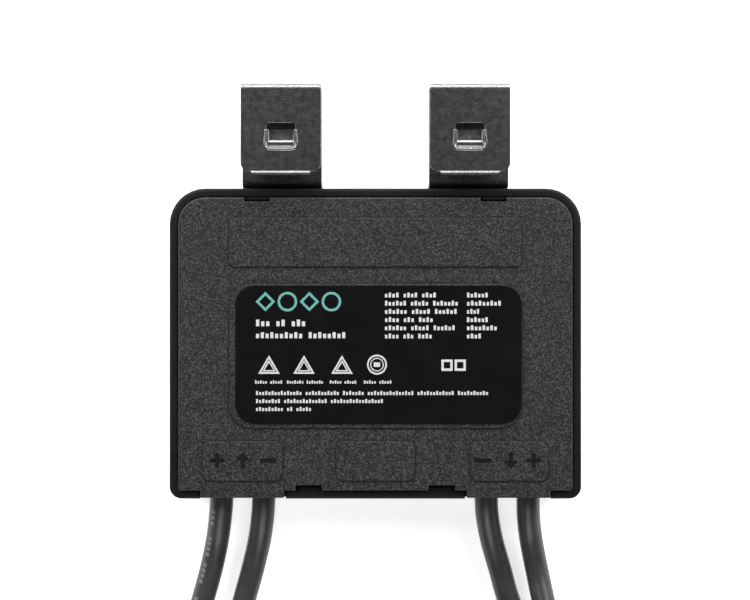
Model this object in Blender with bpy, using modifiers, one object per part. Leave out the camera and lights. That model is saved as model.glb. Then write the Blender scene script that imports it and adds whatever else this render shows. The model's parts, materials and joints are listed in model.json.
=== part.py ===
"""A clip-on photovoltaic power optimizer, lying on its back with its label up.

Millimetres are used throughout and scaled to metres by MM. X runs across the housing, +Y towards
the two spring clips, +Z out of the cover. The origin is under the middle of housing and clips.
Two input leads and two output leads leave the -Y side. Each output lead is wound into a coil.
"""

import math

import bmesh
import bpy
from mathutils import Matrix, Vector

MM = 0.001
GAP = 0.3  # clearance between neighbouring pieces

# Housing: a tub with a stepped wall, so that the gasket and the cover sit inside a raised rim.
HALF_WIDTH = 51.75
BOTTOM_Y, TOP_Y = -52.15, 25.85
RIM = 2.0
RIM_TOP = 20.6
FLOOR = 3.0
LOWER_WALL = 4.1
LEDGE = 14.2
TOP_CORNER, BOTTOM_CORNER = 9.0, 3.0

# Cover, its raised pads and the label on the largest of them.
COVER_FACE, COVER_THICK, SKIRT_WALL, SKIRT_FOOT = 22.0, 2.0, 1.75, 15.7
PAD_RISE = 0.4
TONGUE_IN, TONGUE_OUT, TONGUE_Y = 22.8, 43.9, -51.8
PADS = {
    "upper": (-36.6, 36.6, 6.1, 18.35, 1.2),
    "label": (-36.6, 36.6, -34.3, 1.8, 5.5),
    "in": (-43.3, -23.2, -47.5, -37.55, 2.0),
    "middle": (-9.9, 9.9, -47.5, -37.55, 2.0),
    "out": (23.6, 43.2, -47.5, -37.55, 2.0),
}
TOP_WINDOW_X, BOTTOM_WINDOW_X = 29.6, 16.65
MARK_Y, MARK_DEPTH = -42.4, 0.25

# Inside.
BOARD_LOW, BOARD_HIGH = 5.6, 7.2
POST_TOP = BOARD_LOW - GAP
CABLE_Z = 9.2
PARTS_Z = BOARD_HIGH + GAP

# Cables and their connectors.
CABLE_R = 3.0
LAID_Z = CABLE_R + 0.05
EXITS = {"in_plus": -39.5, "in_minus": -28.7, "out_minus": 28.5, "out_plus": 39.3}
CABLE_START_Y = -46.0
CONNECTOR_Z = 9.4

# The output leads' coils, one on the other.
COIL_X, COIL_Y = 17.0, -128.0
COIL_IN, COIL_OUT = 20.6, 39.3
COIL_HIGH = 12.2
COIL_LIFT = {"out_minus": 0.0, "out_plus": COIL_HIGH + GAP}

# Spring clips: a strip bent into a hook, split on the bend that flexes.
CLIP_X = 23.5
CLIP_WIDE, STRIP = 20.0, 1.0
CLIP_TOP_Y = 51.75
JAW_Z, BACK_Z, LEG_Z = 25.5, 18.5, 1.0
WEB_Y = TOP_Y + GAP + STRIP / 2
END_Y = CLIP_TOP_Y - STRIP / 2
HINGE_Z = (JAW_Z + BACK_Z) / 2
LEG_START_Y = 5.5
LIP_Y = 29.0
SCREW_Y, SCREW_DX = 10.5, 6.0

for old in list(bpy.data.objects):
    bpy.data.objects.remove(old, do_unlink=True)

parts = bpy.data.collections.new("photovoltaic_optimizer")
cutters = bpy.data.collections.new("cutters")
bpy.context.scene.collection.children.link(parts)
bpy.context.scene.collection.children.link(cutters)


def finish(name, colour, rough, metal=0.0):
    """A plain material with one colour."""
    made = bpy.data.materials.new(name)
    made.use_nodes = True
    shader = made.node_tree.nodes["Principled BSDF"]
    shader.inputs["Base Color"].default_value = (*colour, 1.0)
    shader.inputs["Roughness"].default_value = rough
    shader.inputs["Metallic"].default_value = metal
    return made


HOUSING = finish("housing_plastic", (0.012, 0.012, 0.013), 0.35)
COVER = finish("cover_plastic", (0.04, 0.04, 0.044), 0.6)
LABEL = finish("label_film", (0.006, 0.006, 0.006), 0.3)
RUBBER = finish("black_rubber", (0.02, 0.02, 0.02), 0.7)
STEEL = finish("dark_spring_steel", (0.12, 0.12, 0.12), 0.3, 1.0)
SCREW_STEEL = finish("zinc_steel", (0.6, 0.6, 0.6), 0.3, 1.0)
BOARD = finish("board_laminate", (0.02, 0.12, 0.05), 0.5)
POTTING = finish("potting_resin", (0.08, 0.08, 0.08), 0.5)
FERRITE = finish("ferrite", (0.05, 0.05, 0.055), 0.6)
COPPER = finish("tinned_copper", (0.7, 0.6, 0.5), 0.3, 1.0)
CHIP = finish("chip_epoxy", (0.02, 0.02, 0.02), 0.5)
CAN = finish("capacitor_sleeve", (0.03, 0.04, 0.12), 0.4)
CABLE = finish("cable_jacket", (0.015, 0.015, 0.015), 0.4)
PLUG = finish("connector_plastic", (0.02, 0.02, 0.02), 0.45)


def new_object(name, mesh, material=None):
    """A mesh as an object: a part when it has a material, and otherwise a cutter."""
    made = bpy.data.objects.new(name, mesh)
    if material:
        mesh.materials.append(material)
        parts.objects.link(made)
    else:
        made.hide_render = True
        made.display_type = "WIRE"
        cutters.objects.link(made)
    return made


def box(name, x, y, z, material=None):
    """A block from its lowest and highest x, y and z."""
    mesh = bpy.data.meshes.new(name)
    shape = bmesh.new()
    bmesh.ops.create_cube(shape, size=1.0)
    for vert in shape.verts:
        for k, (low, high) in enumerate((x, y, z)):
            vert.co[k] = (low if vert.co[k] < 0 else high) * MM
    shape.to_mesh(mesh)
    shape.free()
    return new_object(name, mesh, material)


def corner(cx, cy, radius, start, steps):
    """The points of a quarter turn round (cx, cy), anticlockwise from start degrees."""
    angles = [math.radians(start + 90 * i / steps) for i in range(steps + 1)]
    return [(cx + radius * math.cos(a), cy + radius * math.sin(a)) for a in angles]


def round_rect(x, y, top, bottom=None, steps=8):
    """A rectangle's outline with its top and bottom corners rounded."""
    bottom = top if bottom is None else bottom
    (x0, x1), (y0, y1) = x, y
    points = corner(x1 - top, y1 - top, top, 0, steps)
    points += corner(x0 + top, y1 - top, top, 90, steps)
    points += corner(x0 + bottom, y0 + bottom, bottom, 180, steps)
    return points + corner(x1 - bottom, y0 + bottom, bottom, 270, steps)


def cleaned(source, name, material):
    """The evaluated shape of an object as a welded mesh object, in the place of the object."""
    bpy.context.view_layer.update()
    depsgraph = bpy.context.evaluated_depsgraph_get()
    mesh = bpy.data.meshes.new_from_object(source.evaluated_get(depsgraph))
    mesh.transform(source.matrix_world)
    bpy.data.objects.remove(source, do_unlink=True)
    shape = bmesh.new()
    shape.from_mesh(mesh)
    bmesh.ops.remove_doubles(shape, verts=shape.verts, dist=1e-6)
    bmesh.ops.recalc_face_normals(shape, faces=shape.faces)
    shape.to_mesh(mesh)
    shape.free()
    mesh.materials.clear()
    mesh.name = name
    return new_object(name, mesh, material)


def plate(name, outline, z, material=None, edge=0.0, turn=None):
    """A flat outline extruded from z[0] to z[1], its upper edge rounded by edge."""
    curve = bpy.data.curves.new(name + "_outline", "CURVE")
    curve.dimensions = "2D"
    curve.fill_mode = "BOTH"
    curve.extrude = (z[1] - z[0]) / 2 * MM
    spline = curve.splines.new("POLY")
    spline.points.add(len(outline) - 1)
    for point, (px, py) in zip(spline.points, outline):
        point.co = (px * MM, py * MM, 0.0, 1.0)
    spline.use_cyclic_u = True
    source = bpy.data.objects.new(name + "_outline", curve)
    source.matrix_world = (turn or Matrix()) @ Matrix.Translation((0, 0, (z[0] + z[1]) / 2 * MM))
    cutters.objects.link(source)
    made = cleaned(source, name, material)
    if edge:
        round_top(made.data, z[1], edge)
    return made


def round_top(mesh, level, width):
    """Rounds the edges of a plate's upper face."""
    shape = bmesh.new()
    shape.from_mesh(mesh)
    bmesh.ops.dissolve_limit(
        shape, angle_limit=math.radians(1), verts=shape.verts, edges=shape.edges
    )
    rim = [e for e in shape.edges if all(abs(v.co.z - level * MM) < 1e-7 for v in e.verts)]
    bmesh.ops.bevel(
        shape, geom=rim, offset=width * MM, segments=2, profile=0.5, affect="EDGES"
    )
    shape.to_mesh(mesh)
    shape.free()


def turned(name, profile, material=None, steps=24, place=Matrix()):
    """A profile of (radius, height) points turned round +Z, closed if it starts off the axis."""
    mesh = bpy.data.meshes.new(name + "_profile")
    verts = [(r * MM, 0.0, h * MM) for r, h in profile]
    edges = [(i, i + 1) for i in range(len(profile) - 1)]
    if profile[0][0] > 0:
        edges.append((len(profile) - 1, 0))
    mesh.from_pydata(verts, edges, [])
    source = bpy.data.objects.new(name + "_profile", mesh)
    cutters.objects.link(source)
    screw = source.modifiers.new("turn", "SCREW")
    screw.steps = steps
    screw.render_steps = steps
    screw.use_merge_vertices = True
    screw.merge_threshold = 1e-5
    source.matrix_world = place
    made = cleaned(source, name, material)
    made.data.shade_smooth()
    made.data.set_sharp_from_angle(angle=math.radians(35))
    return made


def at(x, y, z):
    """A place in millimetres, as a matrix."""
    return Matrix.Translation((x * MM, y * MM, z * MM))


ALONG_Y = Matrix.Rotation(math.radians(90), 4, "X")  # turns +Z to -Y
SIDEWAYS = Matrix(((0, 0, 1, 0), (1, 0, 0, 0), (0, 1, 0, 0), (0, 0, 0, 1)))  # x, y, z to y, z, x


def cylinder(name, radius, z, place, material=None, steps=20):
    """A plain round bar between two heights."""
    profile = [(0, z[1]), (radius, z[1]), (radius, z[0]), (0, z[0])]
    return turned(name, profile, material, steps, place)


def combine(target, tools, operation="DIFFERENCE"):
    """Cuts, joins or keeps the common part of target and each tool, in turn."""
    material = target.data.materials[0] if target.data.materials else None
    for tool in tools:
        step = target.modifiers.new(tool.name, "BOOLEAN")
        step.operation = operation
        step.object = tool
        step.solver = "EXACT"
    name = target.name
    target.name = name + "_before"
    return cleaned(target, name, material)


def ribbon(route, thick):
    """The outline of a strip of even thickness along a route of 2-D points."""
    left, right = [], []
    for i, here in enumerate(route):
        before = Vector(route[max(i - 1, 0)])
        after = Vector(route[min(i + 1, len(route) - 1)])
        along = (after - before).normalized()
        into = (Vector(here) - before).normalized() if i else along
        stretch = 1 / max(0.5, along.dot(into))
        side = Vector((-along.y, along.x)) * thick / 2 * stretch
        left.append(tuple(Vector(here) + side))
        right.append(tuple(Vector(here) - side))
    return left + right[::-1]


def arc(cx, cy, radius, start, end, steps=7):
    """Points on an arc from start to end degrees."""
    angles = [math.radians(start + (end - start) * i / steps) for i in range(steps + 1)]
    return [(cx + radius * math.cos(a), cy + radius * math.sin(a)) for a in angles]


def smooth_route(points, spacing):
    """Points every spacing along a Catmull-Rom curve through the route's own points."""
    given = [Vector(p) for p in points]
    given = [2 * given[0] - given[1], *given, 2 * given[-1] - given[-2]]
    fine = []
    for a, b, c, d in zip(given, given[1:], given[2:], given[3:]):
        for k in range(16):
            t = k / 16
            bend = 2 * a - 5 * b + 4 * c - d
            twist = 3 * b - a - 3 * c + d
            fine.append(0.5 * (2 * b + t * (c - a) + t * t * bend + t**3 * twist))
    fine.append(given[-2])
    lengths = [(q - p).length for p, q in zip(fine, fine[1:])]
    count = max(2, round(sum(lengths) / spacing))
    step, kept, run = sum(lengths) / count, [fine[0]], 0.0
    for p, q, length in zip(fine, fine[1:], lengths):
        while len(kept) < count and run + length >= step * len(kept):
            kept.append(p.lerp(q, (step * len(kept) - run) / length))
        run += length
    return kept + [fine[-1]]


def tube(name, route, radius, material, spacing=8.0, resolution=2):
    """A round cable along a route."""
    curve = bpy.data.curves.new(name, "CURVE")
    curve.dimensions = "3D"
    curve.bevel_depth = radius * MM
    curve.bevel_resolution = resolution
    curve.use_fill_caps = True
    points = smooth_route(route, spacing)
    spline = curve.splines.new("POLY")
    spline.points.add(len(points) - 1)
    for point, place in zip(spline.points, points):
        point.co = (*(place * MM), 1.0)
    source = bpy.data.objects.new(name + "_route", curve)
    cutters.objects.link(source)
    made = cleaned(source, name, material)
    made.data.shade_smooth()
    made.data.set_sharp_from_angle(angle=math.radians(60))
    return made


def clip_screws():
    """(side, number, x) of the four screws that hold the clips' legs."""
    found = []
    for side, sign in (("left", -1), ("right", 1)):
        for number, offset in ((1, -SCREW_DX), (2, SCREW_DX)):
            found.append((side, number, sign * CLIP_X + offset))
    return found


BOARD_SCREWS = [(-42.0, -32.5), (42.0, -32.5), (-42.0, 14.5), (42.0, 14.5)]


def rear_housing():
    """The tub: floor, stepped wall, rim, cable bores, bosses, posts, hooks and clip pockets."""
    outline = round_rect((-HALF_WIDTH, HALF_WIDTH), (BOTTOM_Y, TOP_Y), TOP_CORNER, BOTTOM_CORNER)
    body = plate("rear_housing", outline, (0, RIM_TOP), HOUSING, edge=0.7)
    inside = HALF_WIDTH - RIM
    upper = round_rect((-inside, inside), (BOTTOM_Y + RIM, TOP_Y - RIM), TOP_CORNER - RIM, 0.8)
    deep = HALF_WIDTH - LOWER_WALL
    lower = round_rect((-deep, deep), (BOTTOM_Y + LOWER_WALL, TOP_Y - LOWER_WALL), 5.0, 1.0)
    cuts = [plate("rim_seat", upper, (LEDGE, RIM_TOP + 5))]
    cuts.append(plate("hollow", lower, (FLOOR, LEDGE + 5)))
    for sign in (-1, 1):
        low, high = sorted((sign * (TONGUE_IN - GAP), sign * (TONGUE_OUT + GAP)))
        name = f"tongue_gap_{low:.0f}"
        cuts.append(box(name, (low, high), (BOTTOM_Y - 1, BOTTOM_Y + 3), (15.2, RIM_TOP + 5)))
        pocket = (sign * CLIP_X - CLIP_WIDE / 2 - GAP, sign * CLIP_X + CLIP_WIDE / 2 + GAP)
        y = (LEG_START_Y - GAP - 0.5, TOP_Y + 1)
        cuts.append(box(f"clip_pocket_{sign}", pocket, y, (-1, LEG_Z + STRIP / 2 + 0.5)))
    steps = ((-1, -53, -40.75), (1, -53, -40.85), (1, -40.85, -31.2))
    for number, (sign, y0, y1) in enumerate(steps):
        x = sorted((sign * (inside - 1), sign * (HALF_WIDTH + 1)))
        deep_step = RIM_TOP - (0.3 if number < 2 else 0.15)
        cuts.append(box(f"rim_step_{number}", x, (y0, y1), (deep_step, RIM_TOP + 5)))
    for name, x in EXITS.items():
        bore = cylinder(name + "_bore", 4.6, (0, 8), at(x, BOTTOM_Y + 6, CABLE_Z) @ ALONG_Y)
        cuts.append(bore)
    recess = round_rect((-38, 38), (-42, -6), 4.0)
    cuts.append(plate("rear_recess", recess, (-1, 0.6)))
    body = combine(body, cuts)
    added = []
    for side, number, x in clip_screws():
        boss = cylinder(f"{side}_boss_{number}", 3.6, (FLOOR - 0.5, POST_TOP), at(x, SCREW_Y, 0))
        added.append(boss)
    for number, (x, y) in enumerate(BOARD_SCREWS):
        post = [(0, 3.4), (1.6, 3.4), (1.6, POST_TOP), (3.2, POST_TOP), (3.2, 2.5), (0, 2.5)]
        added.append(turned(f"post_{number}", post, None, 20, at(x, y, 0)))
    for sign in (-1, 1):
        x = (sign * TOP_WINDOW_X - 2.85, sign * TOP_WINDOW_X + 2.85)
        y = (TOP_Y - RIM - 1.0, TOP_Y - RIM + 0.5)
        added.append(box(f"top_hook_{sign}", x, y, (18.6, RIM_TOP - 0.2)))
        x = (sign * BOTTOM_WINDOW_X - 2.95, sign * BOTTOM_WINDOW_X + 2.95)
        y = (BOTTOM_Y + RIM - 0.5, BOTTOM_Y + RIM + 1.0)
        added.append(box(f"bottom_hook_{sign}", x, y, (18.6, RIM_TOP - 0.2)))
    body = combine(body, added, "UNION")
    holes = []
    for side, number, x in clip_screws():
        holes.append(cylinder(f"{side}_hole_{number}", 1.75, (0.5, 4.5), at(x, SCREW_Y, 0)))
    return combine(body, holes)


def cover_windows():
    """Cutters for the cover's edge notches, where the housing's hooks show."""
    found = []
    for sign in (-1, 1):
        x = (sign * TOP_WINDOW_X - 3.2, sign * TOP_WINDOW_X + 3.2)
        found.append(box(f"top_window_{sign}", x, (22.5, 25), (SKIRT_FOOT - 1, COVER_FACE + 1)))
        x = (sign * BOTTOM_WINDOW_X - 3.25, sign * BOTTOM_WINDOW_X + 3.25)
        y = (-51.4, -48.6)
        found.append(box(f"bottom_window_{sign}", x, y, (SKIRT_FOOT - 1, COVER_FACE + 1)))
    return found


def polarity_marks():
    """Cutters for the plus and minus signs and the arrows on the two end pads."""
    top = COVER_FACE + PAD_RISE
    z = (top - MARK_DEPTH, top + 1)
    found = []

    def bar(name, x, y):
        found.append(box(name, x, y, z))

    for name, x in (("in", -39.6), ("out", 39.6)):
        bar(name + "_plus_across", (x - 1.8, x + 1.8), (MARK_Y - 0.5, MARK_Y + 0.5))
        bar(name + "_plus_upright", (x - 0.5, x + 0.5), (MARK_Y - 1.8, MARK_Y + 1.8))
    bar("in_minus_mark", (-28.85, -24.9), (MARK_Y - 0.55, MARK_Y + 0.55))
    bar("out_minus_mark", (24.7, 29.1), (MARK_Y - 0.55, MARK_Y + 0.55))
    for name, x, tip in (("in", -33.2, 1), ("out", 33.9, -1)):
        head = [(x, MARK_Y + 2.1 * tip), (x - 1.9, MARK_Y), (x + 1.9, MARK_Y)]
        found.append(plate(name + "_arrow_head", head, z))
        shaft_y = sorted((MARK_Y - 2.1 * tip, MARK_Y + 0.3 * tip))
        bar(name + "_arrow_shaft", (x - 0.55, x + 0.55), shaft_y)
    return found


def front_cover():
    """The flat lid with its skirt, cable tongues, raised pads and engraved signs."""
    x, y = HALF_WIDTH - RIM - GAP, (BOTTOM_Y + RIM + GAP - 0.15, TOP_Y - RIM - GAP)
    lid = plate(
        "front_cover", round_rect((-x, x), y, 6.7, 0.7), (SKIRT_FOOT, COVER_FACE), COVER, edge=0.45
    )
    inner = round_rect(
        (-x + SKIRT_WALL, x - SKIRT_WALL), (y[0] + SKIRT_WALL, y[1] - SKIRT_WALL), 5.0, 0.7
    )
    hollow = plate("lid_hollow", inner, (SKIRT_FOOT - 2, COVER_FACE - COVER_THICK))
    lid = combine(lid, [hollow, *cover_windows()])
    added = []
    for sign in (-1, 1):
        side = sorted((sign * TONGUE_IN, sign * TONGUE_OUT))
        outline = round_rect(side, (TONGUE_Y, BOTTOM_Y + RIM + 1.2), 0.2, 0.4, 2)
        added.append(plate(f"tongue_{sign}", outline, (15.5, COVER_FACE - 0.02), edge=0.45))
    for name, (x0, x1, y0, y1, radius) in PADS.items():
        outline = round_rect((x0, x1), (y0, y1), radius, steps=5)
        top = COVER_FACE + PAD_RISE
        added.append(plate(name + "_pad", outline, (COVER_FACE - 0.5, top), edge=0.25))
    lid = combine(lid, added, "UNION")
    return combine(lid, polarity_marks())


def rating_label():
    """The printed film on the largest pad."""
    z = COVER_FACE + PAD_RISE + 0.05
    return plate("rating_label", round_rect((-35.0, 36.5), (-33.15, 1.4), 4.8), (z, z + 0.2), LABEL)


def cover_gasket():
    """The rubber ring that the cover presses on the housing's ledge."""
    x = HALF_WIDTH - RIM - GAP
    y = (BOTTOM_Y + RIM + GAP, TOP_Y - RIM - GAP)
    wide = HALF_WIDTH - LOWER_WALL + GAP
    ring = plate(
        "cover_gasket", round_rect((-x, x), y, 6.7, 0.6), (LEDGE + 0.1, SKIRT_FOOT - 0.2), RUBBER
    )
    inner = round_rect(
        (-wide, wide), (BOTTOM_Y + LOWER_WALL - GAP, TOP_Y - LOWER_WALL + GAP), 5.0, 0.8
    )
    return combine(ring, [plate("gasket_hole", inner, (LEDGE - 2, SKIRT_FOOT + 2))])


def cable_seal(name, x):
    """A flanged rubber bush in the housing's bore, round one cable."""
    flange, wall = (6.0, 4.4), 0.5
    profile = [(3.35, -flange[0]), (4.9, -flange[0]), (4.9, -flange[1]), (4.3, -flange[1])]
    profile += [(4.3, -wall - 0.4), (3.9, -wall), (3.35, -wall)]
    turned(name + "_seal", profile, RUBBER, 20, at(x, BOTTOM_Y, CABLE_Z) @ ALONG_Y)


def screw(name, place, head, neck, tip, material=SCREW_STEEL):
    """A screw pointing up +Z: a countersunk or pan head, a shank and a cross slot."""
    profile = [(0, tip), (1.0, tip), (1.35, tip - 0.5), (1.35, neck[1]), (neck[0], neck[1])]
    profile += [(head[0], head[1]), (head[0] * 0.92, 0.0), (0, 0.0)]
    made = turned(name, profile, material, 16, place)
    slots = [
        box(name + "_slot_a", (-1.5, 1.5), (-0.28, 0.28), (-1, 0.6)),
        box(name + "_slot_b", (-0.28, 0.28), (-1.5, 1.5), (-1, 0.6)),
    ]
    for slot in slots:
        slot.matrix_world = place
    return combine(made, slots)


def board_and_parts():
    """The circuit board, its screws and what is soldered to it."""
    board = plate(
        "circuit_board", round_rect((-46, 46), (-41.5, 19.5), 2.0), (BOARD_LOW, BOARD_HIGH), BOARD
    )
    holes = []
    for number, (x, y) in enumerate(BOARD_SCREWS):
        z = (BOARD_LOW - 1, BOARD_HIGH + 1)
        holes.append(cylinder(f"board_hole_{number}", 1.7, z, at(x, y, 0)))
    combine(board, holes)
    upside_down = Matrix.Rotation(math.pi, 4, "X")
    for number, (x, y) in enumerate(BOARD_SCREWS, 1):
        place = at(x, y, BOARD_HIGH + 1.9) @ upside_down
        screw(f"board_screw_{number}", place, (2.6, 0.4), (2.6, 1.6), 4.9)
    outline = round_rect((-47, 47), (-45.3, 21), 4.0, 0.8)
    potting = plate("potting_compound", outline, (FLOOR + 0.2, POST_TOP - 0.1), POTTING)
    clear = [(x, SCREW_Y, 3.9) for _, _, x in clip_screws()]
    clear += [(x, y, 3.5) for x, y in BOARD_SCREWS]
    holes = []
    for number, (x, y, radius) in enumerate(clear):
        z = (FLOOR - 1, POST_TOP + 1)
        holes.append(cylinder(f"potting_hole_{number}", radius, z, at(x, y, 0)))
    combine(potting, holes)
    low = PARTS_Z
    core = plate("power_inductor", round_rect((-13, 13), (-12, 12), 3.0), (low, 18.6), FERRITE, 0.6)
    window = plate("inductor_window", round_rect((-9, 9), (-14, 14), 2.0), (low + 3, 16))
    combine(core, [window])
    plate("inductor_winding", round_rect((-8, 8), (-10.5, 10.5), 3.0), (low + 3.4, 15.6), COPPER, 0.5)
    ring = [(3.2, 17.5), (7.0, 17.5), (8.0, 16.5), (8.0, 9.0), (7.0, low), (3.2, low)]
    turned("filter_choke", ring, FERRITE, 24, at(-32, -5, 0))
    for number, y in enumerate((-14.0, -2.5, 9.0), 1):
        can = [(0, 19.2), (4.6, 19.2), (5.0, 18.8), (5.0, low), (0, low)]
        turned(f"bulk_capacitor_{number}", can, CAN, 20, at(22, y, 0))
    for number, x in enumerate((31.0, 39.5), 1):
        for row, y in enumerate((-8.0, 4.0)):
            name = f"power_transistor_{number + 2 * row}"
            box(name, (x - 3.2, x + 3.2), (y - 4.2, y + 4.2), (low, low + 2.3), CHIP)
    box("controller_chip", (-38, -28), (7, 17), (low, low + 1.2), CHIP)
    box("bypass_diode", (-9, 5), (-27, -19), (low, low + 4.5), CHIP)
    box("line_transformer", (-35, -23), (-29, -19), (low, low + 7.5), FERRITE)
    box("current_shunt", (12, 20), (-30, -25), (low, low + 1.6), COPPER)


def wire_lug(name, x):
    """The stripped copper end of a cable, crimped in a lug that stands on the board."""
    core = cylinder(name + "_lug", 1.4, (0, 6.5), at(x, -45.6 + 6.5, CABLE_Z) @ ALONG_Y, COPPER, 12)
    foot = box(name + "_lug_foot", (x - 1.8, x + 1.8), (-40.6, -36.5), (PARTS_Z, CABLE_Z + 0.9))
    combine(core, [foot], "UNION")


def clip(side, sign):
    """One spring clip: the hook that is screwed to the housing, and the jaw on its far side."""
    x = (sign * CLIP_X - CLIP_WIDE / 2, sign * CLIP_X + CLIP_WIDE / 2)
    bend = 1.2
    leg = [(LEG_START_Y, LEG_Z), *arc(WEB_Y - bend, LEG_Z + bend, bend, -90, 0)]
    back = [*arc(WEB_Y + bend, BACK_Z - bend, bend, 180, 90), *arc(END_Y - 2, BACK_Z + 2, 2, -90, 0)]
    route = leg + back + [(END_Y, HINGE_Z - GAP / 2)]
    hook = plate(f"{side}_clip", ribbon(route, STRIP), x, STEEL, turn=SIDEWAYS)
    cuts = []
    for number, offset in ((1, -SCREW_DX), (2, SCREW_DX)):
        cone = [(0, 1.9), (1.75, 1.9), (1.75, 1.7), (3.1, 0.3), (3.1, 0), (0, 0)]
        place = at(sign * CLIP_X + offset, SCREW_Y, 0)
        cuts.append(turned(f"{side}_countersink_{number}", cone, None, 20, place))
    combine(hook, cuts)
    jaw_route = [(END_Y, HINGE_Z + GAP / 2), *arc(END_Y - 1, JAW_Z - 1, 1, 0, 90)]
    jaw_route += [(LIP_Y + 0.9, JAW_Z), (LIP_Y + 0.5, JAW_Z + 0.1), (LIP_Y + 0.1, JAW_Z + 0.4)]
    wide = (x[0] - 1, x[1] + 1)
    jaw = plate(f"{side}_clip_jaw", ribbon(jaw_route, STRIP), wide, STEEL, turn=SIDEWAYS)
    shape = jaw_outline(sign * CLIP_X)
    jaw = combine(jaw, [plate(f"{side}_jaw_outline", shape, (HINGE_Z - 2, 30))], "INTERSECT")
    slot = round_rect((sign * CLIP_X - 3.6, sign * CLIP_X + 3.6), (35.5, 41.8), 0.8, 1.8, 4)
    jaw = combine(jaw, [plate(f"{side}_barb_slot", slot, (JAW_Z - 2, JAW_Z + 2))])
    barb_route = [(34.6, JAW_Z), (35.3, JAW_Z - 0.05), (35.9, JAW_Z - 0.5), (36.8, JAW_Z - 1.7)]
    barb_route += [(37.5, JAW_Z - 2.05), (40.3, JAW_Z - 2.45)]
    barb_x = (sign * CLIP_X - 3.9, sign * CLIP_X + 3.9)
    scoop = [plate(f"{side}_barb", ribbon(barb_route, 0.9), barb_x, turn=SIDEWAYS)]
    cheek = [(35.2, JAW_Z + 0.1), (35.9, JAW_Z - 0.6), (36.8, JAW_Z - 1.8), (37.5, JAW_Z - 2.1)]
    cheek += [(40.2, JAW_Z - 2.4), (40.2, JAW_Z + 0.1)]
    for end in (-1, 1):
        cheek_x = sorted((sign * CLIP_X + end * 3.2, sign * CLIP_X + end * 3.85))
        scoop.append(plate(f"{side}_cheek_{end}", cheek, cheek_x, turn=SIDEWAYS))
    jaw = combine(jaw, scoop, "UNION")
    pivot = Vector((sign * CLIP_X, END_Y, HINGE_Z)) * MM
    jaw.data.transform(Matrix.Translation(-pivot))
    jaw.location = pivot


def jaw_outline(x):
    """The jaw's outline seen from the front: square at the bend, with a narrower lip."""
    edge, lip, bend = CLIP_WIDE / 2, 7.4, 2.2
    shoulder = LIP_Y + 0.75
    points = [(x - edge, CLIP_TOP_Y + 1)]
    points += corner(x - edge + bend, shoulder + bend, bend, 180, 6)
    points += [(x - lip, shoulder), (x - lip + 0.4, LIP_Y - 1), (x + lip - 0.4, LIP_Y - 1)]
    points += [(x + lip, shoulder), *corner(x + edge - bend, shoulder + bend, bend, 270, 6)]
    return points + [(x + edge, CLIP_TOP_Y + 1)]


# Each lead's route from inside its seal: straight out, down to the floor, and away.
LEAVES = ((CABLE_START_Y, CABLE_Z), (BOTTOM_Y - 0.35, CABLE_Z))
ROUTES = {
    "in_plus": [
        (-40.0, -58.0, 7.6), (-41.0, -64.5, 5.0), (-42.8, -72.5, 3.3), (-45.0, -80.5, LAID_Z),
        (-47.6, -90.0, LAID_Z), (-49.4, -102.0, LAID_Z), (-49.7, -116.0, LAID_Z),
        (-48.3, -130.0, 4.2), (-46.5, -141.5, 7.6), (-46.0, -150.5, 9.3), (-46.0, -158.0, CONNECTOR_Z),
    ],
    "in_minus": [
        (-29.1, -58.0, 7.6), (-30.1, -64.5, 5.0), (-32.0, -72.5, 3.3), (-34.2, -80.5, LAID_Z),
        (-36.4, -90.0, LAID_Z), (-37.4, -102.0, LAID_Z), (-36.2, -116.0, LAID_Z),
        (-31.2, -130.0, 4.2), (-26.4, -141.5, 7.6), (-24.6, -150.5, 9.3), (-24.5, -158.0, CONNECTOR_Z),
    ],
    "out_minus": [
        (28.9, -58.0, 7.6), (30.2, -64.5, 5.0), (32.5, -72.5, 3.3), (34.8, -80.5, LAID_Z),
        (39.4, -91.7, LAID_Z),
    ],
    "out_plus": [
        (39.5, -58.0, 7.6), (40.4, -64.5, 5.2), (42.0, -72.5, 4.2), (43.6, -80.5, 6.0),
        (45.7, -89.5, 9.0), (47.8, -98.0, 12.0),
    ],
}
TAILS = {
    "out_minus": [
        (43.3, -161.9, 7.2), (41.4, -168.5, 7.9), (40.6, -174.5, 9.0), (40.5, -180.0, CONNECTOR_Z),
    ],
    "out_plus": [
        (22.9, -170.6, 17.0), (18.2, -175.0, 13.2), (15.2, -180.8, 10.3), (14.5, -187.0, CONNECTOR_Z),
    ],
}
CONNECTOR_KINDS = {"in_plus": "socket", "in_minus": "plug", "out_minus": "socket", "out_plus": "plug"}


def leads():
    """The four leads: a tube each, and a coil and a tail on the two outputs."""
    for name, x in EXITS.items():
        route = [(x, y, z) for y, z in LEAVES] + ROUTES[name]
        tube(name + "_lead", route, CABLE_R, CABLE)
        cable_seal(name, x)
        wire_lug(name, x)
    for name, lift in COIL_LIFT.items():
        low, high = lift + 0.05, lift + COIL_HIGH
        edge = 1.5
        ring = [(COIL_IN + edge, high), (COIL_OUT - edge, high), (COIL_OUT, high - edge)]
        ring += [(COIL_OUT, low + edge), (COIL_OUT - edge, low), (COIL_IN + edge, low)]
        ring += [(COIL_IN, low + edge), (COIL_IN, high - edge)]
        turned(name + "_coil", ring, CABLE, 32, at(COIL_X, COIL_Y, 0))
        tube(name + "_tail", TAILS[name], CABLE_R, CABLE)
    ends = {name: ROUTES[name][-1] for name in ("in_plus", "in_minus")}
    ends.update({name: tail[-1] for name, tail in TAILS.items()})
    for name, end in ends.items():
        connector(name, CONNECTOR_KINDS[name], end)


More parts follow.
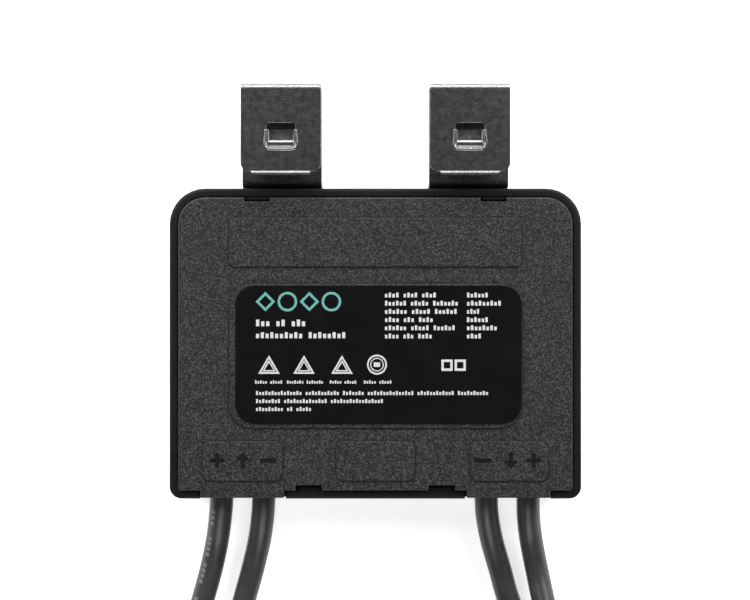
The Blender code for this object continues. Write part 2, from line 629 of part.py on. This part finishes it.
def connector(name, kind, end):
    """A round single-pole cable connector pointing along -Y: a clamping nut and a body."""
    place = at(*end) @ ALONG_Y
    nut = [(0, 13.2), (8.8, 13.2), (9.2, 12.4), (9.2, 4.4), (8.3, 2.6), (5.4, -1.4)]
    nut += [(4.7, -2.2), (3.7, -2.2), (3.7, 0.7), (0, 0.7)]
    clamp = turned(name + "_connector_nut", nut, PLUG, 24, place)
    flats = []
    for k in range(8):
        turn = place @ Matrix.Rotation(math.radians(45 * k), 4, "Z")
        groove = box(f"{name}_groove_{k}", (8.75, 10.0), (-0.8, 0.8), (3.6, 12.0))
        groove.matrix_world = turn
        flats.append(groove)
    combine(clamp, flats)
    if kind == "socket":
        body = [(0, 13.5), (7.2, 13.5), (9.2, 15.5), (9.2, 21.0)]
        body += [(8.2, 22.0), (8.2, 38.0), (9.2, 39.0), (9.2, 51.5), (5.9, 51.5), (5.9, 30.0), (0, 30.0)]
    else:
        body = [(0, 13.5), (7.2, 13.5), (9.2, 15.5), (9.2, 31.0)]
        body += [(8.4, 32.0), (5.6, 32.0), (5.6, 50.5), (5.2, 51.0), (1.9, 51.0), (1.9, 34.0), (0, 34.0)]
    shell = turned(name + "_connector_body", body[::-1], PLUG, 20, place)
    if kind == "socket":
        tools = []
        for sign in (-1, 1):
            across = sorted((sign * 5, sign * 10))
            window = box(f"{name}_window_{sign}", across, (-2.6, 2.6), (41, 46))
            window.matrix_world = place
            tools.append(window)
        combine(shell, tools)
        return
    tools = []
    for sign in (-1, 1):
        arm = [(sign * 8.9, 30.0), (sign * 8.9, 47.5), (sign * 9.3, 48.0), (sign * 7.4, 50.5)]
        arm += [(sign * 7.1, 50.5), (sign * 7.1, 30.0)]
        upright = place @ Matrix(((1, 0, 0, 0), (0, 0, -1, 0), (0, 1, 0, 0), (0, 0, 0, 1)))
        tools.append(plate(f"{name}_arm_{sign}", arm, (-2.2, 2.2), turn=upright))
    combine(shell, tools, "UNION")


rear_housing()
front_cover()
rating_label()
cover_gasket()
board_and_parts()
for clip_side, clip_sign in (("left", -1), ("right", 1)):
    clip(clip_side, clip_sign)
for screw_side, screw_number, screw_x in clip_screws():
    name = f"{screw_side}_clip_screw_{screw_number}"
    screw(name, at(screw_x, SCREW_Y, 0.3), (2.65, 0.2), (1.35, 1.45), 4.1)
leads()
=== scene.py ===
"""The looks of the photovoltaic power optimizer: fine leads, printed label, materials, light, camera.

Places and sizes are in millimetres and scaled by MM. What comes from the frame, and what a material
or a light takes, is in metres.
"""

import json
import math

import bpy
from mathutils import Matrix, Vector


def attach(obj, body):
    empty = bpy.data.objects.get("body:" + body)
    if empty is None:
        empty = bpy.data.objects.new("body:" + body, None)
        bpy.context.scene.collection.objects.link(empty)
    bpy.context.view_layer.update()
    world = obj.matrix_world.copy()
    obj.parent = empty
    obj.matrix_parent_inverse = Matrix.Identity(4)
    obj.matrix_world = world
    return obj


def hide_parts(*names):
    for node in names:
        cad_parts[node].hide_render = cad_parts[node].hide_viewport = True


MM = 0.001
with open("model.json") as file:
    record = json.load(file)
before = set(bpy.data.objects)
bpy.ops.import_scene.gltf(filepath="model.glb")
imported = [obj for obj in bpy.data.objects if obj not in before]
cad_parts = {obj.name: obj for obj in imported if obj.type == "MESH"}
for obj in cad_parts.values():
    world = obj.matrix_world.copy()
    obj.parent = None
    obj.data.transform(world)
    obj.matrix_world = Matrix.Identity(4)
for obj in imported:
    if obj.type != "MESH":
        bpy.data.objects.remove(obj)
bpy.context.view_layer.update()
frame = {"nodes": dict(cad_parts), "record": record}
nodes = frame["nodes"]

# The camera looks straight down at the cover.
LOOK_X, LOOK_Y = -0.1, -2.2
LABEL_Z = 22.6
VIEW_WIDTH = 187.5
VIEW_DISTANCE = 460.0
SENSOR = 36.0

# Print on the label. A line of words starts at LABEL_LEFT unless it has its own start.
PRINT_Z = LABEL_Z + 0.07
LABEL_LEFT = -29.85
MARK_XS, MARK_Y = (-27.5, -22.0, -16.5, -11.0), -2.6
MARK_RADIUS, MARK_LINE = 2.45, 0.62
TITLES = [(-17.1, -8.75, 1.65, (0.34, 0.6)), (-7.1, -11.75, 1.5, (0.55,))]  # end, foot, height, breaks
RATING_NAME_X, RATING_VALUE_X = 2.4, 22.9
RATING_ENDS = [(15.4, 28.4), (20.9, 31.7), (20.65, 26.2), (14.65, 28.4), (20.15, 30.7), (14.4, 26.7)]
RATING_TOP, RATING_PITCH, RATING_HEIGHT = -1.55, 2.05, 1.2
TRIANGLE_XS, TRIANGLE_Y = (-26.6, -17.85, -8.35), -19.1
TRIANGLES = [(3.1, 0.42), (1.9, 0.3)]  # radius and line width, one triangle inside the other
RING_X, RING_Y = 0.4, -18.35
RINGS = [(2.5, 0.42), (1.7, 0.25)]
BAR_HALF_X, BAR_HALF_Y = 0.8, 0.55
CAPTIONS = [(-30.1, -23.1), (-22.1, -12.9), (-11.4, -4.6), (-2.9, 4.2)]
CAPTION_Y, CAPTION_HEIGHT = -23.1, 0.8
SQUARE_XS, SQUARE_Y = (17.9, 21.2), -18.5
SQUARE_RADIUS, SQUARE_LINE = 2.0, 0.6
NOTE_LINES = [
    (28.4, -25.95, 1.0, (0.2, 0.36, 0.47, 0.68, 0.85)),
    (2.15, -27.95, 1.0, (0.2, 0.55)),
    (-15.85, -29.95, 1.0, (0.5, 0.68)),
]

# Blocks that stand for words: pitch and short blocks against the line's height, width against the pitch.
BLOCK_PITCH, SHORT_BLOCK, BLOCK_WIDTH = 0.78, 0.74, 0.64

# Engraved signs of the two end pads, with painted shade on their floors.
SIGN_Y, SIGN_Z = -42.4, 22.17  # just above the floor of the engraving
PLUS_X, PLUS_ARM, PLUS_HALF = 39.6, 1.8, 0.5
MINUS_ENDS = [(-28.85, -24.9), (24.7, 29.1)]
STROKE_HALF = 0.55
ARROWS = [(-33.2, 1), (33.9, -1)]  # x, and 1 for a tip that points to the clips
ARROW_HALF_LENGTH, ARROW_HALF_WIDTH = 2.1, 1.9

# Print on the jacket of one input lead: blocks counted along the lead's points, on its -X shoulder.
JACKET_FIRST, JACKET_LAST = 6, 59
JACKET_CYCLE, JACKET_GAPS = 11, (4, 9, 10)
JACKET_BLOCK = 0.62
JACKET_DEGREES = (24, 31, 38, 45)
JACKET_LIFT = 0.02

# Clips. A barb's edge is given on its left half, from the clip's middle line.
CLIP_X = 23.5
BARB_EDGE_R, BARB_EDGE_Z = 0.5, 25.68
BARB_EDGE_LEFT = [(-3.75, 40.1), (-3.85, 38.4), (-4.0, 36.7), (-3.7, 35.75), (-2.9, 35.3)]
BARB_SPACING = 0.35

# Leads: what the solids' routes say, and how each coil is wound.
CABLE_R = 3.0
LAID_Z = CABLE_R + 0.05
LEAD_SPACING = 1.6
EXIT_Y = -52.15
CABLE_START_Y, CABLE_Z = -46.0, 9.2
STRAIGHT_END_Y = EXIT_Y - 0.35
CONNECTOR_Z = 9.4
EXITS = {"in_plus": -39.5, "in_minus": -28.7, "out_minus": 28.5, "out_plus": 39.3}
ROUTES = {
    "in_plus": [
        (-40.0, -58.0, 7.6), (-41.0, -64.5, 5.0), (-42.8, -72.5, 3.3), (-45.0, -80.5, LAID_Z),
        (-47.6, -90.0, LAID_Z), (-49.4, -102.0, LAID_Z), (-49.7, -116.0, LAID_Z),
        (-48.3, -130.0, 4.2), (-46.5, -141.5, 7.6), (-46.0, -150.5, 9.3), (-46.0, -158.0, CONNECTOR_Z),
    ],
    "in_minus": [
        (-29.1, -58.0, 7.6), (-30.1, -64.5, 5.0), (-32.0, -72.5, 3.3), (-34.2, -80.5, LAID_Z),
        (-36.4, -90.0, LAID_Z), (-37.4, -102.0, LAID_Z), (-36.2, -116.0, LAID_Z),
        (-31.2, -130.0, 4.2), (-26.4, -141.5, 7.6), (-24.6, -150.5, 9.3), (-24.5, -158.0, CONNECTOR_Z),
    ],
    "out_minus": [
        (28.9, -58.0, 7.6), (30.2, -64.5, 5.0), (32.5, -72.5, 3.3), (34.8, -80.5, LAID_Z),
        (39.4, -91.7, LAID_Z),
    ],
    "out_plus": [
        (39.5, -58.0, 7.6), (40.4, -64.5, 5.2), (42.0, -72.5, 4.2), (43.6, -80.5, 6.0),
        (45.7, -89.5, 9.0), (47.8, -98.0, 12.0),
    ],
}
TAILS = {
    "out_minus": [
        (43.3, -161.9, 7.2), (41.4, -168.5, 7.9), (40.6, -174.5, 9.0), (40.5, -180.0, CONNECTOR_Z),
    ],
    "out_plus": [
        (22.9, -170.6, 17.0), (18.2, -175.0, 13.2), (15.2, -180.8, 10.3), (14.5, -187.0, CONNECTOR_Z),
    ],
}
COIL_X, COIL_Y = 17.0, -128.0
COIL_RADII = (36.2, 30.1, 24.0, 24.0, 30.1, 36.2)  # of each turn in order
LAYER_TURNS = 3
COIL_LAYERS = (3.3, 9.2)  # heights of the layers' middle lines over the coil's base
COIL_BASE = {"out_minus": 0.0, "out_plus": 12.45}
COIL_ENTRY = {"out_minus": 25.5, "out_plus": 12.0}  # in degrees round the coil, as COIL_LEAVE
COIL_LEAVE = {"out_minus": -20.0, "out_plus": -50.0}
FULL_TURNS, TURN_STEPS = 5, 24
SHIFT_FROM = 0.72  # how far round a turn the lead starts to move over to the next one

# Steps between two given points of a line, before it's spaced evenly.
FINE_STEPS = 16

# The floor, in metres, and the grain of the finishes inside the housing, in features per metre.
FLOOR_SIZE, FLOOR_Z = 60.0, -0.0003
INNER_GRAIN = 600


def object_of(name, data, material):
    """A mesh or curve as an object of the scene with one material."""
    made = bpy.data.objects.new(name, data)
    data.materials.append(material)
    bpy.context.scene.collection.objects.link(made)
    return made


def mesh_piece(name, verts, faces, material):
    """A mesh of given points and faces."""
    mesh = bpy.data.meshes.new(name)
    mesh.from_pydata([Vector(v) * MM for v in verts], [], faces)
    return object_of(name, mesh, material)


def tube(name, points, radius, material, smoothness):
    """A round tube with capped ends along a line of points."""
    curve = bpy.data.curves.new(name, "CURVE")
    curve.dimensions = "3D"
    curve.bevel_depth = radius * MM
    curve.bevel_resolution = smoothness
    curve.use_fill_caps = True
    spline = curve.splines.new("POLY")
    spline.points.add(len(points) - 1)
    for point, place in zip(spline.points, points):
        point.co = (*(place * MM), 1.0)
    return object_of(name, curve, material)


class Shade:
    """A Principled material and short ways to add procedural nodes to it."""

    def __init__(self, name, rough, metal=0.0):
        self.material = bpy.data.materials.new(name)
        self.material.use_nodes = True
        self.tree = self.material.node_tree
        self.shader = self.tree.nodes["Principled BSDF"]
        self.set("Roughness", rough)
        self.set("Metallic", metal)
        self.place = self.node("ShaderNodeTexCoord").outputs["Object"]
        self.relief = None

    def set(self, socket, value):
        self.shader.inputs[socket].default_value = value

    def node(self, kind, **values):
        made = self.tree.nodes.new(kind)
        for key, value in values.items():
            setattr(made, key, value)
        return made

    def link(self, start, end):
        self.tree.links.new(start, end)

    def noise(self, scale, detail, rough=0.5, stretch=None):
        """Noise over the object, its size set in features per metre."""
        made = self.node("ShaderNodeTexNoise")
        made.inputs["Scale"].default_value = scale
        made.inputs["Detail"].default_value = detail
        made.inputs["Roughness"].default_value = rough
        place = self.place
        if stretch:
            scaled = self.node("ShaderNodeMapping")
            scaled.inputs["Scale"].default_value = stretch
            self.link(place, scaled.inputs["Vector"])
            place = scaled.outputs["Vector"]
        self.link(place, made.inputs["Vector"])
        return made.outputs["Fac"]

    def spread(self, value, stops):
        """A colour ramp over a value. Each stop is a place and a grey or a colour."""
        ramp = self.node("ShaderNodeValToRGB")
        elements = ramp.color_ramp.elements
        while len(elements) < len(stops):
            elements.new(0.5)
        for element, (at, colour) in zip(elements, stops):
            element.position = at
            element.color = (*colour, 1.0) if isinstance(colour, tuple) else (colour,) * 3 + (1.0,)
        self.link(value, ramp.inputs["Fac"])
        return ramp.outputs["Color"]

    def colour(self, value):
        self.link(value, self.shader.inputs["Base Color"])

    def roughness(self, value, low, high):
        scaled = self.node("ShaderNodeMapRange")
        scaled.inputs["To Min"].default_value = low
        scaled.inputs["To Max"].default_value = high
        self.link(value, scaled.inputs["Value"])
        self.link(scaled.outputs["Result"], self.shader.inputs["Roughness"])

    def paint_crevice_shade(self, colour, distance):
        """Paints shade into a colour from ambient occlusion, in grooves and corners narrower than a
        distance in metres.
        """
        hollow = self.node("ShaderNodeAmbientOcclusion", samples=8, only_local=True)
        hollow.inputs["Distance"].default_value = distance
        shade = self.spread(hollow.outputs["AO"], [(0.62, 0.02), (0.96, 1.0)])
        mix = self.node("ShaderNodeMix", data_type="RGBA", blend_type="MULTIPLY")
        mix.inputs["Factor"].default_value = 1.0
        first, second, result = mix.inputs[6], mix.inputs[7], mix.outputs[2]  # the colour sockets
        self.link(colour, first)
        self.link(shade, second)
        return result

    def soften(self, radius):
        """Rounds the look of sharp edges over a radius in metres."""
        rounded = self.node("ShaderNodeBevel", samples=6)
        rounded.inputs["Radius"].default_value = radius
        self.relief = rounded.outputs["Normal"]
        self.link(self.relief, self.shader.inputs["Normal"])

    def bump(self, value, depth, strength):
        """Relief of a depth in metres, over whatever relief there is."""
        made = self.node("ShaderNodeBump")
        made.inputs["Distance"].default_value = depth
        made.inputs["Strength"].default_value = strength
        self.link(value, made.inputs["Height"])
        if self.relief:
            self.link(self.relief, made.inputs["Normal"])
        self.relief = made.outputs["Normal"]
        self.link(self.relief, self.shader.inputs["Normal"])


def rim_plastic():
    """Smooth, near-black housing plastic with a faint moulded skin."""
    made = Shade("rim_plastic", rough=0.5)
    cloud = made.noise(140, 3)
    made.colour(made.spread(cloud, [(0.3, 0.005), (0.7, 0.0065)]))
    made.roughness(made.noise(900, 3), 0.48, 0.62)
    made.set("Specular IOR Level", 0.18)
    made.soften(0.00035)
    made.bump(made.noise(2600, 2), 0.00001, 0.4)
    return made.material


def cover_plastic():
    """Dark grey plastic with the sandy grain of a spark-eroded mould, and painted shade in its grooves.
    """
    made = Shade("cover_plastic", rough=0.62)
    grain = made.noise(2700, 2.5, 0.6)
    sand = made.spread(grain, [(0.40, (0.001, 0.001, 0.0013)), (0.5, (0.0075, 0.0073, 0.0087)),
                               (0.62, (0.055, 0.054, 0.061))])
    # Painted shade: the grain colour is darkened round the feet of the pads and in the engraved signs.
    made.colour(made.paint_crevice_shade(sand, 0.001))
    made.roughness(made.noise(1700, 2), 0.5, 0.7)
    made.set("Specular IOR Level", 0.35)
    made.soften(0.0001)
    made.bump(grain, 0.00009, 0.85)
    return made.material


def label_film():
    """Semi-gloss black film, with a trace of the grain beneath it."""
    made = Shade("label_film", rough=0.3)
    made.colour(made.spread(made.noise(200, 2), [(0.3, 0.0035), (0.7, 0.005)]))
    made.roughness(made.noise(500, 3), 0.2, 0.3)
    made.set("Specular IOR Level", 0.35)
    made.bump(made.noise(900, 2), 0.00001, 0.25)
    return made.material


def print_ink(name, colour):
    """Flat ink with slight unevenness."""
    made = Shade(name, rough=0.5)
    pale = tuple(min(1.0, 1.12 * c) for c in colour)
    made.colour(made.spread(made.noise(1500, 2), [(0.3, colour), (0.7, pale)]))
    made.roughness(made.noise(1200, 2), 0.45, 0.6)
    return made.material


def spring_steel():
    """Dark rolled steel: a fine speckle with bright flecks, and faint streaks across the strip."""
    made = Shade("spring_steel", rough=0.3, metal=1.0)
    speck = made.noise(3000, 3, 0.6)
    made.colour(made.spread(speck, [(0.3, 0.17), (0.56, 0.25), (0.66, 0.42), (0.72, 1.0)]))
    made.roughness(made.noise(700, 3), 0.22, 0.38)
    made.soften(0.0003)
    made.bump(made.noise(1500, 2, stretch=(0.12, 1.0, 1.0)), 0.00002, 0.35)
    return made.material


def zinc_steel():
    """Bright plated steel of the screws."""
    made = Shade("zinc_steel", rough=0.3, metal=1.0)
    made.colour(made.spread(made.noise(900, 2), [(0.3, 0.42), (0.7, 0.6)]))
    made.roughness(made.noise(1500, 2), 0.22, 0.4)
    made.soften(0.0001)
    return made.material


def cable_jacket():
    """Black cable jacket: a satin, slightly uneven skin."""
    made = Shade("cable_jacket", rough=0.38)
    made.colour(made.spread(made.noise(260, 3), [(0.3, 0.036), (0.7, 0.05)]))
    made.roughness(made.noise(1100, 3), 0.3, 0.44)
    made.set("Specular IOR Level", 0.4)
    made.bump(made.noise(1600, 3), 0.00003, 0.5)
    return made.material


def connector_plastic():
    """Matt black plastic of the connectors."""
    made = Shade("connector_plastic", rough=0.5)
    made.colour(made.spread(made.noise(400, 2), [(0.3, 0.009), (0.7, 0.014)]))
    made.roughness(made.noise(1300, 2), 0.42, 0.58)
    made.soften(0.00035)
    made.bump(made.noise(2400, 2), 0.00002, 0.4)
    return made.material


def black_rubber():
    """Dull black rubber of the seals and the gasket."""
    made = Shade("black_rubber", rough=0.75)
    made.colour(made.spread(made.noise(500, 2), [(0.3, 0.009), (0.7, 0.014)]))
    made.bump(made.noise(1200, 2), 0.00003, 0.4)
    return made.material


def inner_finish(name, low, high, rough, metal=0.0):
    """A two-tone finish for a piece inside the housing."""
    made = Shade(name, rough=rough, metal=metal)
    made.colour(made.spread(made.noise(INNER_GRAIN, 3), [(0.35, low), (0.65, high)]))
    made.roughness(made.noise(2 * INNER_GRAIN, 2), 0.85 * rough, 1.2 * rough)
    made.soften(0.00015)
    return made.material


def floor_paint():
    """White paint that glows a little, so that the floor reads white."""
    made = Shade("pale_floor", rough=0.9)
    made.colour(made.spread(made.noise(6, 2), [(0.3, 0.9), (0.7, 0.92)]))
    made.set("Emission Color", (1.0, 1.0, 1.0, 1.0))
    made.set("Emission Strength", 0.7)
    return made.material


FINISHES = {
    "housing_plastic": rim_plastic(),
    "cover_plastic": cover_plastic(),
    "label_film": label_film(),
    "black_rubber": black_rubber(),
    "spring_steel": spring_steel(),
    "zinc_steel": zinc_steel(),
    "board_laminate": inner_finish("board_laminate", (0.01, 0.07, 0.03), (0.015, 0.1, 0.045), 0.35),
    "potting_resin": inner_finish("potting_resin", (0.05, 0.05, 0.05), (0.08, 0.08, 0.08), 0.6),
    "ferrite": inner_finish("ferrite", (0.03, 0.03, 0.032), (0.05, 0.05, 0.055), 0.55),
    "copper": inner_finish("copper", (0.5, 0.28, 0.16), (0.65, 0.38, 0.22), 0.3, 1.0),
    "chip_epoxy": inner_finish("chip_epoxy", (0.012, 0.012, 0.012), (0.02, 0.02, 0.02), 0.5),
    "capacitor_sleeve": inner_finish("capacitor_sleeve", (0.01, 0.015, 0.06), (0.015, 0.02, 0.08), 0.35),
    "cable_jacket": cable_jacket(),
    "connector_plastic": connector_plastic(),
}


def dress_nodes():
    """Each CAD node gets the detailed material of its slot."""
    for part in frame["record"]["subparts"]:
        holder = nodes[part["node"]]
        finish = FINISHES[part["material_slot"]]
        if not holder.material_slots:
            holder.data.materials.append(finish)
        for slot in holder.material_slots:
            slot.material = finish


def smooth_route(points, spacing):
    """Points every spacing along a Catmull-Rom curve through the route's own points."""
    given = [Vector(p) for p in points]
    given = [2 * given[0] - given[1], *given, 2 * given[-1] - given[-2]]
    fine = []
    for a, b, c, d in zip(given, given[1:], given[2:], given[3:]):
        for k in range(FINE_STEPS):
            t = k / FINE_STEPS
            bend = 2 * a - 5 * b + 4 * c - d
            twist = 3 * b - a - 3 * c + d
            fine.append(0.5 * (2 * b + t * (c - a) + t * t * bend + t**3 * twist))
    fine.append(given[-2])
    lengths = [(q - p).length for p, q in zip(fine, fine[1:])]
    count = max(2, round(sum(lengths) / spacing))
    step, kept, run = sum(lengths) / count, [fine[0]], 0.0
    for p, q, length in zip(fine, fine[1:], lengths):
        while len(kept) < count and run + length >= step * len(kept):
            kept.append(p.lerp(q, (step * len(kept) - run) / length))
        run += length
    return kept + [fine[-1]]


def ease(t):
    """0 to 1 with a level start and end."""
    return t * t * (3 - 2 * t)


def coil_points(name):
    """The turns of an output lead: inwards on the lower layer, then outwards on the upper one."""
    start = COIL_ENTRY[name]
    turns = FULL_TURNS + (start - COIL_LEAVE[name]) / 360
    count = round(turns * TURN_STEPS)
    points = []
    for i in range(count + 1):
        run = turns * i / count
        turn = min(int(run), FULL_TURNS)
        after = min(turn + 1, FULL_TURNS)
        shift = ease(max(0.0, (run - turn - SHIFT_FROM) / (1 - SHIFT_FROM))) if turn < after else 0.0
        radius = COIL_RADII[turn] + shift * (COIL_RADII[after] - COIL_RADII[turn])
        low, high = (COIL_LAYERS[t // LAYER_TURNS] for t in (turn, after))
        angle = math.radians(start - 360 * run)
        place = (COIL_X + radius * math.cos(angle), COIL_Y + radius * math.sin(angle))
        points.append((*place, COIL_BASE[name] + low + shift * (high - low)))
    return points


def lead_route(name):
    """The whole line of a lead, from inside its seal to its connector."""
    x = EXITS[name]
    points = [(x, CABLE_START_Y, CABLE_Z), (x, STRAIGHT_END_Y, CABLE_Z), *ROUTES[name]]
    if name in TAILS:
        points += coil_points(name) + TAILS[name]
    return smooth_route(points, LEAD_SPACING)


def lead(name):
    """A lead as a fine tube, in place of the CAD lead and, where it has them, its coil and tail."""
    points = lead_route(name)
    made = tube(name + "_cable", points, CABLE_R, FINISHES["cable_jacket"], smoothness=5)
    if name == "in_plus":
        jacket_print(points)
    stands_for = [name + "_lead"]
    if name in TAILS:
        stands_for += [name + "_coil", name + "_tail"]
    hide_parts(*stands_for)
    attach(made, "root")


def jacket_print(points):
    """Pale blocks along a lead, in place of the maker's line of print."""
    verts, faces = [], []
    across = len(JACKET_DEGREES)
    for i in range(JACKET_FIRST, JACKET_LAST + 1):
        if i % JACKET_CYCLE in JACKET_GAPS:
            continue
        here, after = points[i], points[i + 1]
        along = (after - here).normalized()
        right = along.cross(Vector((0, 0, 1))).normalized()
        above = right.cross(along)
        first = len(verts)
        for place in (here, here.lerp(after, JACKET_BLOCK)):
            for degrees in JACKET_DEGREES:
                a = math.radians(degrees)
                out = above * math.cos(a) + right * math.sin(a)
                verts.append(place + out * (CABLE_R + JACKET_LIFT))
        for k in range(first, first + across - 1):
            faces.append((k, k + 1, k + across + 1, k + across))
    made = mesh_piece("jacket_print", verts, faces, print_ink("jacket_ink", (0.15, 0.15, 0.15)))
    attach(made, "root")
    return made


def barb_edge(side, sign):
    """The rounded edge that pressing leaves round the lower half of a clip's barb."""
    path = BARB_EDGE_LEFT + [(-dx, y) for dx, y in BARB_EDGE_LEFT[::-1]]
    points = smooth_route([(sign * CLIP_X + dx, y, BARB_EDGE_Z) for dx, y in path], BARB_SPACING)
    made = tube(side + "_barb_edge", points, BARB_EDGE_R, FINISHES["spring_steel"], smoothness=4)
    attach(made, side + "_jaw")


class Print:
    """Flat printing collected into one mesh at one height."""

    def __init__(self, level):
        self.level = level
        self.verts = []
        self.faces = []

    def ring(self, outer, inner):
        """The band between two outlines with the same number of points."""
        first, count = len(self.verts), len(outer)
        self.verts += [(x, y, self.level) for x, y in outer + inner]
        for i in range(count):
            j = (i + 1) % count
            self.faces.append((first + i, first + j, first + count + j, first + count + i))

    def patch(self, outline):
        first = len(self.verts)
        self.verts += [(x, y, self.level) for x, y in outline]
        self.faces.append(tuple(range(first, first + len(outline))))

    def bar(self, x0, x1, y0, y1):
        self.patch([(x0, y0), (x1, y0), (x1, y1), (x0, y1)])

    def polygon(self, cx, cy, radius, sides, line, turn=90.0):
        """The outline of a regular polygon, with a line of a given width inside its radius."""
        angles = [math.radians(turn + 360 * i / sides) for i in range(sides)]
        outer = [(cx + radius * math.cos(a), cy + radius * math.sin(a)) for a in angles]
        short = 1 - line / (radius * math.cos(math.pi / sides))
        self.ring(outer, [(cx + short * (x - cx), cy + short * (y - cy)) for x, y in outer])

    def words(self, x0, x1, y, height, breaks=()):
        """A line of small blocks that stands for printed words, x0 to x1, its foot at y."""
        count = max(2, round((x1 - x0) / (BLOCK_PITCH * height)))
        step = (x1 - x0) / count
        spaces = {round(count * share) for share in breaks}
        for i in range(count):
            if i in spaces:
                continue
            tall = height if (7 * i + count) % 5 < 2 else SHORT_BLOCK * height
            left = x0 + i * step
            self.bar(left, left + BLOCK_WIDTH * step, y, y + tall)

    def piece(self, name, material):
        made = mesh_piece(name, self.verts, self.faces, material)
        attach(made, "root")


def label_mark():
    """Diamonds and rings in a row, where a name would be."""
    teal = Print(PRINT_Z)
    for k, x in enumerate(MARK_XS):
        sides, turn = ((4, 90), (32, 0))[k % 2]
        teal.polygon(x, MARK_Y, MARK_RADIUS, sides, MARK_LINE, turn)
    teal.piece("label_mark", print_ink("teal_ink", (0.10, 0.30, 0.28)))


def label_symbols(white):
    """Plain triangles, a ring round a bar, and two squares."""
    for x in TRIANGLE_XS:
        for radius, line in TRIANGLES:
            white.polygon(x, TRIANGLE_Y, radius, 3, line)
    x, y = RING_X, RING_Y
    for radius, line in RINGS:
        white.polygon(x, y, radius, 40, line, 0.0)
    white.bar(x - BAR_HALF_X, x + BAR_HALF_X, y - BAR_HALF_Y, y + BAR_HALF_Y)
    for x in SQUARE_XS:
        white.polygon(x, SQUARE_Y, SQUARE_RADIUS, 4, SQUARE_LINE, 45.0)


def label_text():
    """Rows of blocks and plain symbols, where the printed words and signs would be."""
    white = Print(PRINT_Z)
    for end, y, height, breaks in TITLES:
        white.words(LABEL_LEFT, end, y, height, breaks)
    for row, (name_end, value_end) in enumerate(RATING_ENDS):
        y = RATING_TOP - RATING_PITCH * row
        white.words(RATING_NAME_X, name_end, y, RATING_HEIGHT, (0.3, 0.62))
        white.words(RATING_VALUE_X, value_end, y, RATING_HEIGHT)
    label_symbols(white)
    for start, end in CAPTIONS:
        white.words(start, end, CAPTION_Y, CAPTION_HEIGHT, (0.45,))
    for end, y, height, breaks in NOTE_LINES:
        white.words(LABEL_LEFT, end, y, height, breaks)
    white.piece("label_text", print_ink("white_ink", (0.5, 0.5, 0.5)))


def pad_sign_shade():
    """Dark sheets on the floors of the engraved plus and minus signs and arrows of the two end pads, as
    painted shade.
    """
    dark = Print(SIGN_Z)
    y = SIGN_Y
    for x in (-PLUS_X, PLUS_X):
        dark.bar(x - PLUS_ARM, x + PLUS_ARM, y - PLUS_HALF, y + PLUS_HALF)
        dark.bar(x - PLUS_HALF, x + PLUS_HALF, y + PLUS_HALF, y + PLUS_ARM)
        dark.bar(x - PLUS_HALF, x + PLUS_HALF, y - PLUS_ARM, y - PLUS_HALF)
    for left, right in MINUS_ENDS:
        dark.bar(left, right, y - STROKE_HALF, y + STROKE_HALF)
    for x, tip in ARROWS:
        side = ARROW_HALF_WIDTH * tip
        dark.patch([(x, y + ARROW_HALF_LENGTH * tip), (x - side, y), (x + side, y)])
        dark.bar(x - STROKE_HALF, x + STROKE_HALF, *sorted((y - ARROW_HALF_LENGTH * tip, y)))
    # The sheets take the near-black housing plastic as painted shade in the engravings.
    dark.piece("pad_sign_shade", FINISHES["housing_plastic"])


def camera():
    """Straight above the cover, with the clips at the top of the view."""
    data = bpy.data.cameras.new("camera")
    data.sensor_width = SENSOR
    data.lens = SENSOR * VIEW_DISTANCE / VIEW_WIDTH
    data.clip_start = 0.01
    made = bpy.data.objects.new("camera", data)
    made.location = (LOOK_X * MM, LOOK_Y * MM, (LABEL_Z + VIEW_DISTANCE) * MM)
    bpy.context.scene.collection.objects.link(made)
    bpy.context.scene.camera = made


def area_light(name, place, size, power, aim=(0.0, 0.0, 0.01)):
    """A soft rectangular light aimed at a point, in metres."""
    data = bpy.data.lights.new(name, "AREA")
    data.shape = "RECTANGLE"
    data.size, data.size_y = size
    data.energy = power
    made = bpy.data.objects.new(name, data)
    made.location = place
    made.rotation_euler = (Vector(aim) - Vector(place)).to_track_quat("-Z", "Y").to_euler()
    bpy.context.scene.collection.objects.link(made)


def floor():
    """A pale plane just below the object, far wider than any view of it."""
    bpy.ops.mesh.primitive_plane_add(size=FLOOR_SIZE, location=(0, 0, FLOOR_Z))
    made = bpy.context.object
    made.name = "floor"
    made.data.materials.append(floor_paint())


def surround():
    """A world that is pale near the horizon and dark overhead."""
    world = bpy.data.worlds.new("surround")
    world.use_nodes = True
    tree = world.node_tree
    apart = tree.nodes.new("ShaderNodeSeparateXYZ")
    tree.links.new(tree.nodes.new("ShaderNodeTexCoord").outputs["Generated"], apart.inputs[0])
    ramp = tree.nodes.new("ShaderNodeValToRGB")
    for element, at, grey in zip(ramp.color_ramp.elements, (0.12, 0.5), (0.85, 0.03)):
        element.position = at
        element.color = (grey, grey, grey, 1.0)
    tree.links.new(apart.outputs["Z"], ramp.inputs["Fac"])
    tree.links.new(ramp.outputs["Color"], tree.nodes["Background"].inputs["Color"])
    bpy.context.scene.world = world


def lights():
    """A key light beyond the clips, a strip on each side and a soft light on the leads."""
    area_light("key", (0.0, 0.8, 0.48), (1.3, 0.4), 12.0)
    area_light("left_strip", (-0.62, 0.4, 0.6), (0.22, 0.7), 5.0)
    area_light("right_strip", (0.62, 0.4, 0.6), (0.22, 0.7), 5.0)
    area_light("front_soft", (0.0, -0.75, 0.5), (0.5, 0.3), 2.6, aim=(0.0, -0.08, 0.01))


camera()
for lead_name in EXITS:
    lead(lead_name)
dress_nodes()
label_mark()
label_text()
pad_sign_shade()
for clip_side, clip_sign in (("left", -1), ("right", 1)):
    barb_edge(clip_side, clip_sign)
floor()
surround()
lights()
bpy.context.scene.view_settings.view_transform = "Standard"
